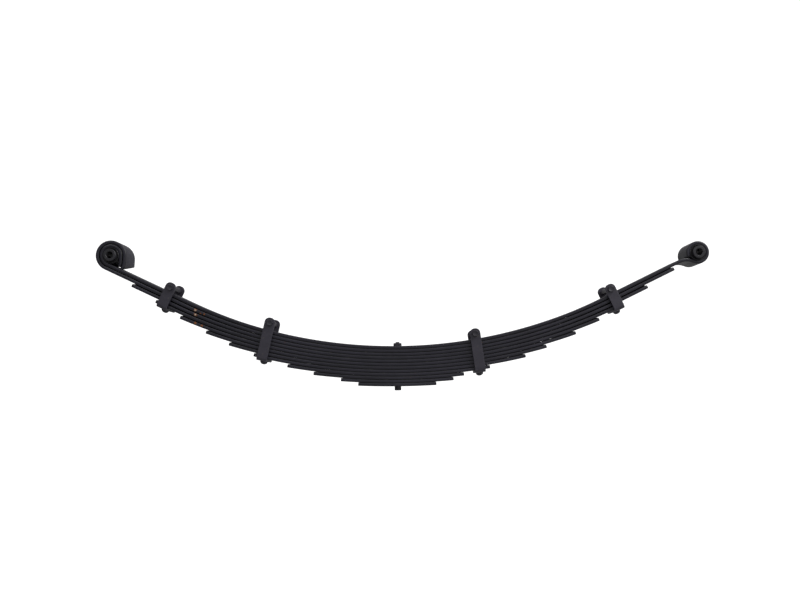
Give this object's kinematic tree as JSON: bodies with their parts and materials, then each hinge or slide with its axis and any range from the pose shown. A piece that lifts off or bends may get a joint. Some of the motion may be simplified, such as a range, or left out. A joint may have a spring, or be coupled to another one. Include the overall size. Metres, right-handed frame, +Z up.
{
  "type": "leaf spring",
  "caption": "Semi-elliptic vehicle leaf spring: a tapering stack of arched steel leaves with rolled bushed eyes, a centre bolt and riveted rebound clips.",
  "frame": {"origin": "spring seat: where the centre bolt axis meets the underside of the lowest leaf", "axes": "+X along the spring towards the rear eye (single coil), -X towards the front eye (double coil), +Y across the leaves, +Z up out of the seat"},
  "size_m": [1.4553, 0.0983, 0.3634],
  "materials": {
    "leaf_paint": "semi-gloss black paint over spring steel, orange-peel, small rust chips along edges",
    "clip_paint": "semi-gloss black paint over mild steel strap",
    "fastener_paint": "semi-gloss black paint over zinc-plated fasteners",
    "sleeve_steel": "black-painted steel tube",
    "bush_rubber": "matte black rubber"
  },
  "bodies": {
    "pack": {"leaf_01_main": "leaf_paint", "leaf_02_wrapper": "leaf_paint", "leaf_03": "leaf_paint", "leaf_04": "leaf_paint", "leaf_05": "leaf_paint", "leaf_06": "leaf_paint", "leaf_07": "leaf_paint", "leaf_08": "leaf_paint", "leaf_09": "leaf_paint", "leaf_10": "leaf_paint", "leaf_11": "leaf_paint", "leaf_12": "leaf_paint", "centre_bolt": "fastener_paint", "centre_bolt_nut": "fastener_paint"},
    "front_inner_clip": {"front_inner_clip_strap": "clip_paint", "front_inner_clip_rivet": "fastener_paint", "front_inner_clip_bolt": "fastener_paint", "front_inner_clip_nut": "fastener_paint", "front_inner_clip_spacer": "fastener_paint"},
    "front_outer_clip": {"front_outer_clip_strap": "clip_paint", "front_outer_clip_rivet": "fastener_paint", "front_outer_clip_bolt": "fastener_paint", "front_outer_clip_nut": "fastener_paint", "front_outer_clip_spacer": "fastener_paint"},
    "front_eye": {"front_bush_shell": "sleeve_steel", "front_bush_rubber": "bush_rubber"},
    "front_sleeve": {"front_bush_sleeve": "sleeve_steel"},
    "rear_inner_clip": {"rear_inner_clip_strap": "clip_paint", "rear_inner_clip_rivet": "fastener_paint", "rear_inner_clip_bolt": "fastener_paint", "rear_inner_clip_nut": "fastener_paint", "rear_inner_clip_spacer": "fastener_paint"},
    "rear_outer_clip": {"rear_outer_clip_strap": "clip_paint", "rear_outer_clip_rivet": "fastener_paint", "rear_outer_clip_bolt": "fastener_paint", "rear_outer_clip_nut": "fastener_paint", "rear_outer_clip_spacer": "fastener_paint"},
    "rear_eye": {"rear_bush_shell": "sleeve_steel", "rear_bush_rubber": "bush_rubber"},
    "rear_sleeve": {"rear_bush_sleeve": "sleeve_steel"}
  },
  "joints": [
    {"name": "front_flex", "type": "hinge", "parent": "pack", "child": "front_inner_clip", "pos_m": [-0.17, 0, 0.0687], "axis": [0, -1, 0], "range_deg": [0, 13], "stiffness_Nm_per_rad": 13000, "deforming": ["leaf_01_main", "leaf_02_wrapper", "leaf_03", "leaf_04", "leaf_05", "leaf_06", "leaf_07", "leaf_08", "leaf_09", "leaf_10", "leaf_11", "leaf_12"]},
    {"name": "front_flex_outer", "type": "hinge", "parent": "front_inner_clip", "child": "front_eye", "pos_m": [-0.45, 0, 0.1671], "axis": [0, -1, 0], "range_deg": [0, 15.65], "stiffness_Nm_per_rad": 11000, "deforming": ["leaf_01_main", "leaf_02_wrapper", "leaf_03", "leaf_04", "leaf_05", "leaf_06", "leaf_07", "leaf_08"]},
    {"name": "front_clip_follow", "type": "hinge", "parent": "front_inner_clip", "child": "front_outer_clip", "pos_m": [-0.4822, 0, 0.1845], "axis": [0, -1, 0], "range_deg": [0, 18.83], "deforming": ["leaf_01_main", "leaf_02_wrapper", "leaf_03", "leaf_04", "leaf_05", "leaf_06", "leaf_07", "leaf_08"]},
    {"name": "front_sleeve_twist", "type": "hinge", "parent": "front_eye", "child": "front_sleeve", "pos_m": [-0.677, 0, 0.31761], "axis": [0, 1, 0], "range_deg": [-30, 30], "stiffness_Nm_per_rad": 150},
    {"name": "rear_flex", "type": "hinge", "parent": "pack", "child": "rear_inner_clip", "pos_m": [0.11, 0, 0.0573], "axis": [0, 1, 0], "range_deg": [0, 6.5], "stiffness_Nm_per_rad": 26400, "deforming": ["leaf_01_main", "leaf_02_wrapper", "leaf_03", "leaf_04", "leaf_05", "leaf_06", "leaf_07", "leaf_08", "leaf_09", "leaf_10", "leaf_11", "leaf_12"]},
    {"name": "rear_flex_outer", "type": "hinge", "parent": "rear_inner_clip", "child": "rear_eye", "pos_m": [0.388, 0, 0.1337], "axis": [0, 1, 0], "range_deg": [0, 21.5], "stiffness_Nm_per_rad": 8100, "deforming": ["leaf_01_main", "leaf_02_wrapper", "leaf_03", "leaf_04", "leaf_05", "leaf_06", "leaf_07", "leaf_08", "leaf_09"]},
    {"name": "rear_clip_follow", "type": "hinge", "parent": "rear_inner_clip", "child": "rear_outer_clip", "pos_m": [0.4323, 0, 0.1627], "axis": [0, 1, 0], "range_deg": [0, 24.27], "deforming": ["leaf_01_main", "leaf_02_wrapper", "leaf_03", "leaf_04", "leaf_05", "leaf_06", "leaf_07", "leaf_08", "leaf_09"]},
    {"name": "rear_sleeve_twist", "type": "hinge", "parent": "rear_eye", "child": "rear_sleeve", "pos_m": [0.715, 0, 0.31043], "axis": [0, 1, 0], "range_deg": [-30, 30], "stiffness_Nm_per_rad": 150}
  ],
  "couplings": [
    {"joint": "front_flex_outer", "follows": "front_flex", "ratio": 1.2},
    {"joint": "front_clip_follow", "follows": "front_flex", "ratio": 1.4446},
    {"joint": "rear_flex_outer", "follows": "rear_flex", "ratio": 3.3},
    {"joint": "rear_clip_follow", "follows": "rear_flex", "ratio": 3.7266}
  ]
}
